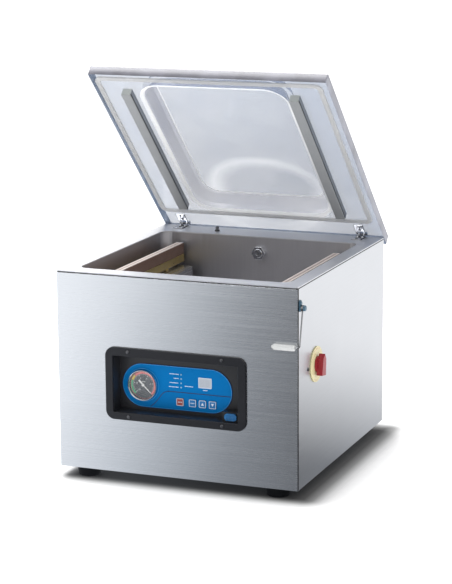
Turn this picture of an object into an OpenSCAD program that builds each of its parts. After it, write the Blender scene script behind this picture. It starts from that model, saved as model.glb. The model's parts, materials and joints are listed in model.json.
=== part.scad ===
// Tabletop chamber vacuum packer: stainless cabinet, sunk chamber, clear domed lid.
// Frame: origin on the floor midway between the feet, +X to the right seen from the
// front, +Y to the rear, +Z up. Drawn with the lid open against its rear bumpers.

/* [Cabinet] */
// Width of the cabinet
body_w = 500; // [480:5:520]
// Depth of the cabinet
body_d = 540; // [530:1:550]
// Height of the deck above the floor
deck_z = 417; // [400:1:430]
// Height of the rubber feet
foot_h = 20; // [16:1:24]
// Thickness of the sheet-metal panels
sheet = 1.5; // [1:0.5:2]

/* [Chamber] */
// Inside width of the chamber
chamber_w = 440; // [436:2:444]
// Distance from the front face to the chamber's front wall
chamber_y0 = 36; // [35:1:37]
// Distance from the front face to the chamber's rear wall
chamber_y1 = 462; // [460:1:463]
// Inside depth of the chamber below the deck
chamber_depth = 130; // [125:1:135]

/* [Lid] */
// Angle of the open lid above the closed one
lid_open = 43.82; // [30:0.01:44]
// Thickness of the clear slab
lid_t = 20; // [18:1:22]
// Length of the lid from front edge to rear edge
lid_len = 555; // [540:1:556]
// Height of the hinge axis above the deck
hinge_h = 5.5; // [5.5:0.1:6]
// Gap between the deck and the closed lid
lid_gap = 4; // [4:0.1:4.5]

/* [Sealing] */
// Distance of both sealing bars from the centre line
bar_x = 177; // [174:1:178]
// Length of a sealing bar
bar_len = 400; // [390:1:400]

/* [Control panel] */
// Width of the black bezel
bezel_w = 293; // [290:1:296]
// Height of the black bezel
bezel_h = 145; // [144:1:148]
// Depth of the sunk tray behind the bezel
tray_d = 30; // [28:1:32]

/* [Hidden] */
$fn = 64;

front = -body_d / 2;                 // Y of the cabinet's front face
half_w = body_w / 2;                 // X of the cabinet's right face
panel_top = deck_z - 4;              // upper edge of the four wall panels
deck_t = 2;                          // deck plate thickness
skirt_h = 15;                        // folded skirt under the deck's edge
wall = 2;                            // chamber wall thickness
chamber_r = 20;                      // chamber corner radius
chamber_flange = 10;                 // width of the flange under the deck
seam = 2;                            // shadow gap at the cabinet's corners
foot_x = half_w - 50;                // feet, from the centre line
foot_y = body_d / 2 - 30;
foot_r = 24;
bolt_r = 4;

// Lid: lx across, s from the front edge to the rear, n away from the underside.
axis_n = hinge_h - lid_gap;          // hinge axis above the lid's underside
axis_s = 522.5;                      // hinge axis from the lid's front edge
hinge_y = front + 537.6;
hinge_z = deck_z + hinge_h;
hinge_x = 202;
knuckle_r = 4;
pin_r = 2;
leaf_t = 1.5;
dome_w = 300;
dome_s0 = 38;
dome_s1 = 459;
dome_r = 40;
dome_h = 46;                         // inside height of the dome's crown
dome_wall = 5;
gasket_x = 239;                      // outer half width of the gasket ring
gasket_s0 = 6;
gasket_s1 = 476;
gasket_w = 10;
gasket_t = 3.7;
counter_w = 20;
counter_s0 = 44;
counter_len = 402;
channel_t = 12;
pad_t = 3.6;

// Sealing bars, bottom to top: pins, gold carrier, brown bar, light strip.
bar_w = 16;
bar_y0 = front + 52;
bar_top = deck_z - 21;
strip_t = 1.2;
bar_h = 24;
carrier_h = 16;
carrier_z = bar_top - bar_h - carrier_h;
lift_pin_r = 5;
lift_pin_l = 50;
lift_clear = 0.05;
housing_w = 80;
housing_top = deck_z - 66;
housing_y0 = front + 56;
housing_y1 = front + 430;
chamber_floor = deck_z - chamber_depth;

// Control panel, set out from its bezel's centre.
bezel_z = deck_z - 216.5;
bezel_t = 5;
bezel_r = 18;
recess_w = 261;
recess_h = 113;
recess_z = deck_z - 217.5;
recess_r = 2;
tray_wall = 3;
tray_back = front + tray_d;          // front surface of the tray's back
tray_back_t = 2;
overlay_t = 1.2;
overlay_x0 = -125;
overlay_x1 = 106.5;
overlay_z0 = deck_z - 268.4;
overlay_z1 = deck_z - 180;
gauge_x = -80.7;
gauge_z = deck_z - 223.7;
gauge_r = 30.5;
gauge_wall = 2;
gauge_front = tray_back - 7;
gauge_len = 36;
pointer_shaft_r = 1.5;
run_clear = 0.05;
key_size = 15;
key_z = deck_z - 251;
key_xs = [-2.5, 23.9, 44.8, 65.7];
key_front = tray_back - 3;
key_t = 2;
key_stem = 9;
led_x = 0;
led_zs = [for (k = [0:3]) deck_z - 196 - k * 8.6];
led_r = 1.5;
display_x = 50;
display_z = deck_z - 208.9;
display_w = 26;
display_h = 19;
board_y = tray_back + 10;            // front of the circuit board
board_t = 1.6;
tact_t = 2;
latch_x = 111.75;
latch_z = deck_z - 265;
latch_w = 24.5;
latch_h = 14;
boss_front = front + 8;
slot_h = 5;

// Mains switch on the right side.
switch_y = front + 105;
switch_z = deck_z - 171;
switch_r = 35;
switch_plate_t = 2.5;
knob_shaft_r = 4;
switch_screw_dy = 46;

// Lid-holding bail at the right front corner.
bail_y = front + 12;
bail_z = deck_z - 41;
bail_drop = 74;                      // sleeve axis below the pivot
bail_lean = 18.5;                    // and in front of it
bail_arm_x = half_w + 6;
wire_r = 1.5;
wire_bend = 6;                       // radius of the bend at the corner
eye_t = 3.6;                         // thickness of the eye round the pivot
sleeve_r = 6;
sleeve_x0 = half_w - 46;
sleeve_x1 = half_w - 3;

// Lid switch plunger on the deck's rear margin.
plunger_x = -110;
plunger_y = front + 497;
plunger_r = 3.5;

// Vacuum port in the chamber's rear wall.
port_z = deck_z - 34;
port_y = front + chamber_y1;
hose_r = 8;
hose_y = front + 505;
hose_bend = 20;

gland_x = -180;
gland_z = 80;
gland_bore = 4.25;

// ---------- helpers ----------

// Rectangle with true round corners, centred.
module rrect(w, h, r) {
  square([w - 2 * r, h], center = true);
  square([w, h - 2 * r], center = true);
  for (sx = [-1, 1], sy = [-1, 1])
    translate([sx * (w / 2 - r), sy * (h / 2 - r)]) circle(r);
}

// Block between two corners.
module block(a, b) {
  translate(a) cube([b[0] - a[0], b[1] - a[1], b[2] - a[2]]);
}

// Cylinder along X, starting at x = x0.
module rod_x(x0, y, z, r, len, fn = 64) {
  translate([x0, y, z]) rotate([0, 90, 0]) cylinder(r = r, h = len, $fn = fn);
}

// Cylinder along Y, starting at y = y0.
module rod_y(x, y0, z, r, len, fn = 64) {
  translate([x, y0, z]) rotate([-90, 0, 0]) cylinder(r = r, h = len, $fn = fn);
}

// Upright profile drawn in X and Z, extruded back from y0 by len.
module upright(x, y0, z, len) {
  translate([x, y0 + len, z]) rotate([90, 0, 0]) linear_extrude(len) children();
}

// Side profile drawn in Y and Z, extruded right from x0 by len.
module sideways(x0, len) {
  translate([x0, 0, 0]) rotate([90, 0, 90]) linear_extrude(len) children();
}

// The same thing on the left and on the right.
module both_sides(x) {
  for (sx = [-1, 1]) translate([sx * x, 0, 0]) children();
}

// Puts lid coordinates (lx, s, n) where the open lid is.
module on_lid() {
  translate([0, hinge_y, hinge_z]) rotate([-lid_open, 0, 0])
    translate([0, -axis_s, -axis_n]) children();
}

module at_feet() {
  for (sx = [-1, 1], sy = [-1, 1]) translate([sx * foot_x, sy * foot_y, 0]) children();
}

// ---------- cabinet ----------

module front_panel() {
  opening_w = bezel_w - 13;
  opening_h = bezel_h - 14;
  color([0.72, 0.74, 0.77]) {
    difference() {
      block([-half_w, front, foot_h], [half_w, front + sheet, panel_top]);
      upright(0, front - 1, bezel_z, sheet + 2) rrect(opening_w, opening_h, bezel_r - 6);
    }
    both_sides(half_w - 1.5 * sheet)
      block([-sheet / 2, front + sheet - 0.5, foot_h + 2],
            [sheet / 2, front + sheet + 7, deck_z - deck_t - skirt_h - 1]);
  }
}

// Side wall: 2 mm shy of the front panel, so that a dark seam shows.
module side_wall(x0) {
  block([x0, front + sheet + seam, foot_h], [x0 + sheet, -front - sheet, panel_top]);
}

module left_side_panel() {
  color([0.7, 0.72, 0.74]) side_wall(-half_w);
}

module right_side_panel() {
  color([0.78, 0.8, 0.82]) difference() {
    side_wall(half_w - sheet);
    rod_x(half_w - 5, switch_y, switch_z, knob_shaft_r + 2, 10);
    for (sy = [-1, 1])
      rod_x(half_w - 5, switch_y + sy * switch_screw_dy, switch_z, 2, 10);
    rod_x(half_w - 5, bail_y, bail_z, 3, 10);
  }
}

module rear_panel() {
  y0 = -front - sheet;
  color([0.7, 0.72, 0.74]) difference() {
    block([-half_w, y0, foot_h], [half_w, y0 + sheet, panel_top]);
    for (row = [0:7], sx = [-1, 1])
      upright(sx * 95, y0 - 1, 130 + row * 14, sheet + 2) rrect(120, 6, 2.9);
    rod_y(gland_x, y0 - 1, gland_z, 8, sheet + 2);
  }
}

module base_pan() {
  color([0.6, 0.62, 0.64]) difference() {
    block([-half_w + sheet, front + sheet, foot_h], [half_w - sheet, -front - sheet, foot_h + 2]);
    at_feet() translate([0, 0, foot_h - 1]) cylinder(r = bolt_r, h = 4);
    for (row = [0:5])
      translate([0, front + 120 + row * 18, foot_h - 1])
        linear_extrude(4) rrect(120, 6, 2.9);
  }
}

module deck_plate() {
  opening_d = chamber_y1 - chamber_y0;
  skirt_w = body_w - 2 * sheet;
  skirt_d = body_d - 2 * sheet;
  color([0.8, 0.81, 0.84]) difference() {
    union() {
      translate([0, 0, deck_z - deck_t]) linear_extrude(deck_t) rrect(body_w, body_d, 3);
      difference() {
        translate([-skirt_w / 2, -skirt_d / 2, deck_z - deck_t - skirt_h])
          cube([skirt_w, skirt_d, skirt_h]);
        translate([-skirt_w / 2 + 2, -skirt_d / 2 + 14, deck_z - deck_t - skirt_h - 1])
          cube([skirt_w - 4, skirt_d - 16, skirt_h + 1]);
      }
    }
    translate([0, front + (chamber_y0 + chamber_y1) / 2, deck_z - deck_t - 1])
      linear_extrude(deck_t + 2) rrect(chamber_w, opening_d, chamber_r);
    translate([plunger_x, plunger_y, deck_z - 5]) cylinder(r = 5, h = 10);
  }
}

module vacuum_chamber() {
  depth_y = chamber_y1 - chamber_y0;
  mid_y = front + (chamber_y0 + chamber_y1) / 2;
  top = deck_z - deck_t;
  color([0.62, 0.62, 0.64]) difference() {
    translate([0, mid_y, 0]) {
      translate([0, 0, chamber_floor - wall]) linear_extrude(top - chamber_floor + wall)
        rrect(chamber_w + 2 * wall, depth_y + 2 * wall, chamber_r + wall);
      translate([0, 0, top - wall]) linear_extrude(wall)
        rrect(chamber_w + 2 * chamber_flange, depth_y + 2 * chamber_flange,
              chamber_r + chamber_flange);
    }
    translate([0, mid_y, chamber_floor]) linear_extrude(chamber_depth)
      rrect(chamber_w, depth_y, chamber_r);
    rod_y(0, port_y - 5, port_z, 8, 10);
  }
}

module feet() {
  color([0.08, 0.08, 0.09]) at_feet() difference() {
    rotate_extrude() polygon([[0, 0], [foot_r - 3, 0], [foot_r - 1, 2], [foot_r, foot_h - 3],
                              [foot_r, foot_h], [0, foot_h]]);
    translate([0, 0, -1]) cylinder(r = bolt_r, h = foot_h + 2);
    translate([0, 0, -1]) cylinder(r = 9, h = 9);
  }
}

module foot_bolts() {
  color([0.75, 0.75, 0.77]) at_feet() {
    translate([0, 0, 4]) cylinder(r = 7, h = 4, $fn = 6);
    translate([0, 0, 7]) cylinder(r = bolt_r, h = foot_h + 4);
    translate([0, 0, foot_h + 2]) cylinder(r = 7.5, h = 5, $fn = 6);
  }
}

// ---------- control panel ----------

module panel_bezel() {
  color([0.1, 0.105, 0.115]) difference() {
    upright(0, front - bezel_t, bezel_z, bezel_t) rrect(bezel_w, bezel_h, bezel_r);
    upright(0, front - bezel_t - 1, recess_z, bezel_t + 2) rrect(recess_w, recess_h, recess_r);
  }
}

module bezel_screws() {
  color([0.2, 0.2, 0.22]) for (sx = [-1, 1], sz = [-1, 1])
    translate([sx * 98, front - bezel_t, bezel_z + sz * 65]) rotate([90, 0, 0]) difference() {
      rotate_extrude() polygon([[0, 0], [3.6, 0], [3.2, 1.3], [2, 2], [0, 2]]);
      translate([0, 0, 1]) cylinder(r = 1.3, h = 2, $fn = 6);
    }
}

module panel_tray() {
  outer_w = recess_w + 2 * tray_wall;
  outer_h = recess_h + 2 * tray_wall;
  color([0.12, 0.12, 0.13]) difference() {
    union() {
      difference() {
        upright(0, front, recess_z, tray_d + tray_back_t)
          square([outer_w, outer_h], center = true);
        upright(0, front - 1, recess_z, tray_d + 1) square([recess_w, recess_h], center = true);
      }
      block([latch_x - 18, boss_front, recess_z - recess_h / 2 - 1],
            [recess_w / 2 + 1, tray_back + 1, latch_z + latch_h / 2 + 2]);
    }
    rod_y(gauge_x, tray_back - 5, gauge_z, gauge_r, 10);
    for (x = key_xs)
      block([x - 5, tray_back - 5, key_z - 5], [x + 5, tray_back + 5, key_z + 5]);
    for (z = led_zs) rod_y(led_x, tray_back - 5, z, led_r, 10);
    block([display_x - display_w / 2, tray_back - 5, display_z - display_h / 2],
          [display_x + display_w / 2, tray_back + 5, display_z + display_h / 2]);
    block([latch_x - 15, boss_front - 1, latch_z - slot_h / 2],
          [latch_x + 9, boss_front + 6, latch_z + slot_h / 2]);
  }
}

module control_overlay() {
  h = overlay_z1 - overlay_z0;
  color([0, 0.42, 0.7]) difference() {
    upright((overlay_x0 + overlay_x1) / 2, tray_back - overlay_t, (overlay_z0 + overlay_z1) / 2,
            overlay_t) rrect(overlay_x1 - overlay_x0, h, h / 2 - 0.1);
    rod_y(gauge_x, tray_back - 5, gauge_z, gauge_r, 10);
    for (x = key_xs)
      upright(x, tray_back - 5, key_z, 10) rrect(key_size + 0.8, key_size + 0.8, 2);
    for (z = led_zs) rod_y(led_x, tray_back - 5, z, led_r, 10);
    block([display_x - display_w / 2, tray_back - 5, display_z - display_h / 2],
          [display_x + display_w / 2, tray_back + 5, display_z + display_h / 2]);
  }
}

module display_window() {
  color([0.7, 0.73, 0.76])
    block([display_x - display_w / 2, tray_back - overlay_t - 0.4, display_z - display_h / 2],
          [display_x + display_w / 2, board_y, display_z + display_h / 2]);
}

module status_leds() {
  color([0.75, 0.85, 0.75]) for (z = led_zs) {
    rod_y(led_x, tray_back - 2, z, led_r, board_y - tray_back + 2, 32);
  }
}

module control_board() {
  color([0.1, 0.35, 0.2]) {
    block([-40, board_y, deck_z - 266], [108, board_y + board_t, deck_z - 188]);
    for (x = key_xs)
      block([x - 4, board_y - tact_t, key_z - 4], [x + 4, board_y + 0.5, key_z + 4]);
    for (x = [-36, 104], z = [deck_z - 262, deck_z - 192])
      rod_y(x, tray_back + tray_back_t, z, 3, board_y - tray_back - tray_back_t + 0.5);
    for (x = [-20, 15, 80])
      block([x, board_y + board_t - 0.5, deck_z - 230], [x + 18, board_y + 10, deck_z - 212]);
  }
}

module gauge_case() {
  color([0.08, 0.08, 0.09]) {
    difference() {
      rod_y(gauge_x, gauge_front, gauge_z, gauge_r, gauge_len);
      rod_y(gauge_x, gauge_front - 1, gauge_z, gauge_r - gauge_wall, gauge_len - 14);
    }
    rod_y(gauge_x, gauge_front + gauge_len, gauge_z, 6, 12);
  }
}

module gauge_dial() {
  color([0.93, 0.93, 0.9]) difference() {
    rod_y(gauge_x, gauge_front + 7, gauge_z, gauge_r - gauge_wall, 1);
    rod_y(gauge_x, gauge_front + 5, gauge_z, pointer_shaft_r + run_clear, 5);
  }
}

// Pointer at its stop, its tip low on the right.
module gauge_pointer() {
  color([0.95, 0.95, 0.95]) {
    translate([gauge_x, gauge_front + 5, gauge_z]) rotate([0, 45, 0]) rotate([-90, 0, 0])
      linear_extrude(0.8) polygon([[-13, -1.9], [22, -0.4], [22, 0.4], [-13, 1.9]]);
    rod_y(gauge_x, gauge_front + 4, gauge_z, 3, 2);
    rod_y(gauge_x, gauge_front + 5, gauge_z, pointer_shaft_r, 8);
  }
}

module gauge_lens() {
  color([0.9, 0.95, 1, 0.3])
    rod_y(gauge_x, gauge_front + 1, gauge_z, gauge_r - gauge_wall, 1.5);
}

// Key k: square cap in the overlay and a stem through the tray to its switch.
module key(k) {
  x = key_xs[k];
  upright(x, key_front, key_z, key_t) rrect(key_size, key_size, 1.6);
  block([x - key_stem / 2, key_front + key_t - 0.5, key_z - key_stem / 2],
        [x + key_stem / 2, board_y - tact_t - 1, key_z + key_stem / 2]);
}

module stop_key() { color([0.75, 0.2, 0.15]) key(0); }
module set_key() { color([0.1, 0.45, 0.75]) key(1); }
module up_key() { color([0.1, 0.45, 0.75]) key(2); }
module down_key() { color([0.1, 0.45, 0.75]) key(3); }

module tray_latch() {
  cap_y = boss_front - 5;
  color([0.1, 0.4, 0.75]) {
    upright(latch_x, cap_y, latch_z, 4.7) rrect(latch_w, latch_h, 6);
    for (k = [-3:3])
      block([latch_x + k * 2.6 - 0.6, cap_y - 1, latch_z - 5],
            [latch_x + k * 2.6 + 0.6, cap_y + 1, latch_z + 5]);
    block([latch_x, cap_y + 4, latch_z - slot_h / 2 + 0.3],
          [latch_x + 8, boss_front + 5, latch_z + slot_h / 2 - 0.3]);
  }
}

// ---------- mains switch ----------

module switch_plate() {
  color([0.9, 0.87, 0.6]) difference() {
    rod_x(half_w, switch_y, switch_z, switch_r, switch_plate_t);
    rod_x(half_w - 1, switch_y, switch_z, knob_shaft_r + run_clear, 5);
  }
}

module switch_knob() {
  base_x = half_w + switch_plate_t + 0.3;
  color([0.7, 0.12, 0.15]) {
    rod_x(base_x, switch_y, switch_z, 16, 4);
    sideways(base_x + 3, 12) translate([switch_y, switch_z]) rotate(-8)
      polygon([[-11, -21], [11, -21], [8.5, 11], [0, 21], [-8.5, 11]]);
    rod_x(half_w - 25, switch_y, switch_z, knob_shaft_r, 30);
  }
}

module switch_screws() {
  color([0.25, 0.25, 0.27]) for (sy = [-1, 1])
    translate([half_w, switch_y + sy * switch_screw_dy, switch_z]) rotate([0, 90, 0]) {
      difference() {
        rotate_extrude() polygon([[0, 0], [3.8, 0], [3.4, 1.4], [2, 2.2], [0, 2.2]]);
        translate([0, 0, 1.9]) cube([5, 0.9, 2], center = true);
      }
      translate([0, 0, -4]) cylinder(r = 2, h = 4.5);
    }
}

module switch_body() {
  x1 = half_w - sheet;
  color([0.15, 0.15, 0.16]) difference() {
    union() {
      block([x1 - 3, switch_y - 54, switch_z - 12], [x1, switch_y + 54, switch_z + 12]);
      block([x1 - 38, switch_y - 28, switch_z - 28], [x1, switch_y + 28, switch_z + 28]);
    }
    rod_x(half_w - 30, switch_y, switch_z, knob_shaft_r + run_clear, 40);
    for (sy = [-1, 1])
      rod_x(x1 - 5, switch_y + sy * switch_screw_dy, switch_z, 2, 10);
  }
}

// ---------- lid ----------

// Dome outline at height n, shrunk by inset.
module dome_layer(n, inset) {
  mid = (dome_s0 + dome_s1) / 2;
  translate([0, mid, n]) linear_extrude(0.1)
    rrect(dome_w - 2 * inset, dome_s1 - dome_s0 - 2 * inset, dome_r - inset / 4);
}

// Pillow-shaped solid: straight wall, then a crown that rounds in.
module dome_solid(grow, base) {
  hull($fn = 32) {
    dome_layer(base, -grow);
    dome_layer(dome_h * 0.55, 4 - grow);
    dome_layer(dome_h * 0.85, 14 - grow);
    dome_layer(dome_h + grow - 0.1, 40 - grow);
  }
}

module lid_shell() {
  color([0.85, 0.9, 0.95, 0.4]) on_lid() difference() {
    union() {
      translate([-half_w, 0, 0]) cube([body_w, lid_len, lid_t]);
      dome_solid(dome_wall, lid_t - 1);
    }
    dome_solid(0, -1);
    both_sides(hinge_x) rod_x(-12, axis_s, axis_n, knuckle_r + 0.6, 24);
  }
}

module lid_gasket() {
  len = gasket_s1 - gasket_s0;
  color([0.88, 0.87, 0.84]) on_lid() translate([0, (gasket_s0 + gasket_s1) / 2, -gasket_t])
    linear_extrude(gasket_t) difference() {
      rrect(2 * gasket_x, len, 16);
      rrect(2 * (gasket_x - gasket_w), len - 2 * gasket_w, 6);
    }
}

module counter_bars() {
  color([0.62, 0.64, 0.66]) on_lid() both_sides(bar_x)
    block([-counter_w / 2, counter_s0, -channel_t], [counter_w / 2, counter_s0 + counter_len, 0]);
}

module counter_pads() {
  color([0.6, 0.6, 0.58]) on_lid() both_sides(bar_x)
    block([-counter_w / 2, counter_s0, -channel_t - pad_t],
          [counter_w / 2, counter_s0 + counter_len, -channel_t]);
}

// ---------- hinges ----------

module hinge_bases() {
  plate_y0 = front + 497;
  color([0.8, 0.8, 0.82]) both_sides(hinge_x) difference() {
    union() {
      block([-10, plate_y0, deck_z], [10, front + 531, deck_z + leaf_t]);
      for (sx = [-1, 1]) sideways(sx * 5.2 - 1.2, 2.4) {
        translate([hinge_y, hinge_z]) circle(knuckle_r);
        translate([hinge_y - 14, deck_z]) square([14, 3.2]);
      }
    }
    rod_x(-20, hinge_y, hinge_z, pin_r, 40);
  }
}

module hinge_leaves() {
  color([0.8, 0.8, 0.82]) on_lid() both_sides(hinge_x) difference() {
    union() {
      block([-10, 487, -leaf_t], [10, 508, 0]);
      for (sx = [-1, 1]) sideways(sx * 8.4 - 1.2, 2.4) {
        translate([axis_s, axis_n]) circle(knuckle_r);
        translate([490, -leaf_t]) square([axis_s - 490, leaf_t]);
      }
    }
    rod_x(-20, axis_s, axis_n, pin_r + run_clear, 40);
  }
}

module hinge_pins() {
  color([0.85, 0.85, 0.87]) both_sides(hinge_x) rod_x(-11, hinge_y, hinge_z, pin_r, 22);
}

module hinge_springs() {
  color([0.7, 0.7, 0.72]) both_sides(hinge_x) {
    difference() {
      rod_x(-3.6, hinge_y, hinge_z, 3.5, 7.2);
      rod_x(-5, hinge_y, hinge_z, pin_r, 10);
    }
    block([-3.4, hinge_y - 13, deck_z + leaf_t], [-2, hinge_y - 1, deck_z + leaf_t + 1.4]);
  }
}

module stop_bumpers() {
  color([0.06, 0.06, 0.07]) both_sides(half_w - 10)
    translate([0, -front, deck_z - 16]) rotate([-90, 0, 0]) rotate_extrude()
      polygon([[0, 0], [5, 0], [5, 10], [3.6, 12], [0, 12]]);
}

module lid_plunger() {
  color([0.75, 0.76, 0.78]) translate([plunger_x, plunger_y, deck_z]) {
    translate([0, 0, -20]) rotate_extrude()
      polygon([[0, 0], [plunger_r, 0], [plunger_r, 29], [plunger_r - 1, 30], [0, 30]]);
    translate([0, 0, -12.5]) cylinder(r = 5, h = 1.5);
  }
}

module plunger_bush() {
  color([0.25, 0.25, 0.27]) translate([plunger_x, plunger_y, deck_z]) difference() {
    union() {
      rotate_extrude() polygon([[0, 0], [5.5, 0], [5.5, 1.5], [4.8, 2.4], [0, 2.4]]);
      translate([0, 0, -10]) cylinder(r = 5, h = 10.5);
    }
    translate([0, 0, -11]) cylinder(r = plunger_r + run_clear, h = 20);
  }
}

module lid_microswitch() {
  color([0.12, 0.12, 0.13]) {
    block([plunger_x - 12, plunger_y - 6, deck_z - 46], [plunger_x + 12, plunger_y + 6, deck_z - 28]);
    block([plunger_x + 12, plunger_y - 4, deck_z - 46], [plunger_x + 14, plunger_y + 4, deck_z - 2]);
  }
}

// ---------- bail ----------

module latch_bail() {
  lean = atan2(bail_lean, bail_drop);
  arm = sqrt(bail_lean * bail_lean + bail_drop * bail_drop);
  cross = bail_arm_x - sleeve_x0 + 4 - wire_bend;
  color([0.82, 0.83, 0.85]) translate([bail_arm_x, bail_y, bail_z]) rotate([-lean, 0, 0]) {
    difference() {
      rod_x(-eye_t / 2, 0, 0, 6, eye_t);
      rod_x(-5, 0, 0, 3 + run_clear, 10);
    }
    translate([0, 0, wire_bend - arm]) cylinder(r = wire_r, h = arm - wire_bend - 4.5, $fn = 32);
    translate([-wire_bend, 0, wire_bend - arm]) rotate([90, 0, 0]) rotate([0, 0, -90])
      rotate_extrude(angle = 90) translate([wire_bend, 0]) circle(wire_r, $fn = 32);
    rod_x(-wire_bend - cross, 0, -arm, wire_r, cross, 32);
  }
}

module bail_sleeve() {
  end_y = bail_y - bail_lean;
  end_z = bail_z - bail_drop;
  len = sleeve_x1 - sleeve_x0;
  color([0.95, 0.95, 0.94]) translate([sleeve_x0, end_y, end_z]) rotate([0, 90, 0]) difference() {
    rotate_extrude() polygon([[0, 0], [sleeve_r - 1, 0], [sleeve_r, 1], [sleeve_r, len - 1],
                              [sleeve_r - 1, len], [0, len]]);
    translate([0, 0, -1]) cylinder(r = wire_r, h = len + 2, $fn = 32);
  }
}

module bail_pivot() {
  color([0.1, 0.2, 0.45]) {
    rod_x(half_w - 8, bail_y, bail_z, 3, 19);
    difference() {
      union() {
        rod_x(half_w, bail_y, bail_z, 5, 4);
        sideways(half_w, 2) translate([bail_y, bail_z + 4]) rrect(11, 23, 5);
        translate([half_w + 1, bail_y, bail_z + 9]) rotate([0, 90, 0]) rotate_extrude()
          polygon([[0, 0], [4.6, 0], [4.6, 1.8], [3, 3.2], [0, 3.2]]);
      }
      rod_x(half_w - 1, bail_y, bail_z, 2.9, 7);
    }
    translate([half_w + 8, bail_y, bail_z]) rotate([0, 90, 0]) rotate_extrude()
      polygon([[0, 0], [5.5, 0], [5.5, 3], [4.2, 4.5], [0, 4.5]]);
  }
}

// ---------- chamber fittings ----------

module port_fitting() {
  color([0.6, 0.62, 0.65]) difference() {
    union() {
      rod_y(0, port_y - 10, port_z, 15.2, 8, 6);
      rod_y(0, port_y - 2, port_z, 12.5, 2);
      rod_y(0, port_y - 12, port_z, 9, 3);
      rod_y(0, port_y - 3, port_z, 8, 21);
    }
    rod_y(0, port_y - 13, port_z, 5, 40);
  }
}

module seal_bar(x) {
  translate([x, bar_y0, bar_top - bar_h]) translate([-bar_w / 2, 0, 0])
    cube([bar_w, bar_len, bar_h - strip_t]);
}

module heater_strip(x) {
  translate([x, bar_y0, bar_top - strip_t]) translate([-bar_w / 2 + 1, 0, 0])
    cube([bar_w - 2, bar_len, strip_t]);
}

// Gold channel under the bar, with the two pins that the bladder pushes up.
module bar_carrier(x) {
  translate([x, bar_y0, carrier_z]) {
    translate([-bar_w / 2 - 1, 2, 0]) cube([bar_w + 2, bar_len - 4, carrier_h]);
    for (y = [80, bar_len - 80])
      translate([0, y, -lift_pin_l]) cylinder(r = lift_pin_r, h = lift_pin_l + 1);
  }
}

module left_seal_bar() { color([0.37, 0.29, 0.27]) seal_bar(-bar_x); }
module right_seal_bar() { color([0.37, 0.29, 0.27]) seal_bar(bar_x); }
module left_heater_strip() { color([0.85, 0.8, 0.78]) heater_strip(-bar_x); }
module right_heater_strip() { color([0.85, 0.8, 0.78]) heater_strip(bar_x); }
module left_bar_carrier() { color([0.55, 0.45, 0.2]) bar_carrier(-bar_x); }
module right_bar_carrier() { color([0.55, 0.45, 0.2]) bar_carrier(bar_x); }

module bladder_housings() {
  len = housing_y1 - housing_y0;
  color([0.75, 0.75, 0.77]) both_sides(bar_x) difference() {
    translate([0, housing_y0 + len / 2, chamber_floor]) linear_extrude(housing_top - chamber_floor)
      rrect(housing_w, len, 12);
    for (y = [80, bar_len - 80])
      translate([0, bar_y0 + y, carrier_z - lift_pin_l])
        cylinder(r = lift_pin_r + lift_clear, h = lift_pin_l);
  }
}

// ---------- inside the cabinet ----------

module pump_body() {
  color([0.35, 0.37, 0.4]) {
    block([-70, 60, foot_h + 14], [70, 200, 175]);
    for (x = [-60, 40])
      block([x, 70, foot_h + 2], [x + 20, 190, foot_h + 15]);
    rod_y(0, 199, 130, 11, 10);
  }
}

module pump_motor() {
  color([0.25, 0.3, 0.4]) {
    rod_x(70, 130, 104, 62, 150);
    for (x = [84:14:196]) rod_x(x, 130, 104, 66, 5);
    block([110, 95, foot_h + 2], [190, 165, 50]);
  }
}

module exhaust_filter() {
  color([0.3, 0.32, 0.35]) {
    translate([-118, 130, 60]) cylinder(r = 40, h = 150);
    translate([-118, 130, 209]) cylinder(r = 30, h = 12);
    block([-90, 110, 100], [-70, 150, 150]);
  }
}

module transformer() {
  color([0.5, 0.35, 0.2]) {
    block([-200, -120, foot_h + 2], [-110, -30, 30]);
    block([-190, -110, 29], [-120, -40, 90]);
    block([-200, -95, 45], [-110, -55, 75]);
  }
}

module solenoid_valve() {
  color([0.7, 0.6, 0.3]) {
    block([40, 235, 300], [80, -front - sheet, 330]);
    translate([60, 252, 329]) cylinder(r = 12, h = 36);
  }
}

// Hose from the port's tail to the pump's inlet, round two bends.
module vacuum_hose() {
  y0 = port_y + 18;
  inlet_z = 130;
  color([0.2, 0.2, 0.22]) {
    rod_y(0, y0, port_z, hose_r, hose_y - hose_bend - y0 + 0.01);
    translate([0, hose_y - hose_bend, port_z - hose_bend]) rotate([0, -90, 0])
      rotate_extrude(angle = 90) translate([hose_bend, 0]) circle(hose_r);
    translate([0, hose_y, inlet_z + hose_bend])
      cylinder(r = hose_r, h = port_z - inlet_z - 2 * hose_bend);
    translate([0, hose_y - hose_bend, inlet_z + hose_bend]) rotate([0, 90, 0])
      rotate_extrude(angle = 90) translate([hose_bend, 0]) circle(hose_r);
    rod_y(0, 209, inlet_z, hose_r, hose_y - hose_bend - 209 + 0.01);
  }
}

module mains_gland() {
  y0 = -front;
  color([0.08, 0.08, 0.09]) difference() {
    union() {
      rod_y(gland_x, y0, gland_z, 12, 6, 6);
      rod_y(gland_x, y0 - 12, gland_z, 8, 13);
      rod_y(gland_x, y0 - sheet - 5, gland_z, 12, 5, 6);
      rod_y(gland_x, y0 + 5, gland_z, 9.5, 11);
    }
    rod_y(gland_x, y0 - 20, gland_z, gland_bore, 50);
  }
}

module panel_screws() {
  color([0.7, 0.7, 0.72]) for (x = [-235, 0, 235], z = [foot_h + 12, panel_top - 60])
    translate([x, -front, z]) rotate([-90, 0, 0]) difference() {
      rotate_extrude() polygon([[0, 0], [4, 0], [3.4, 1.6], [2, 2.2], [0, 2.2]]);
      translate([0, 0, 1.2]) cylinder(r = 1.5, h = 2, $fn = 6);
    }
}

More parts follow.
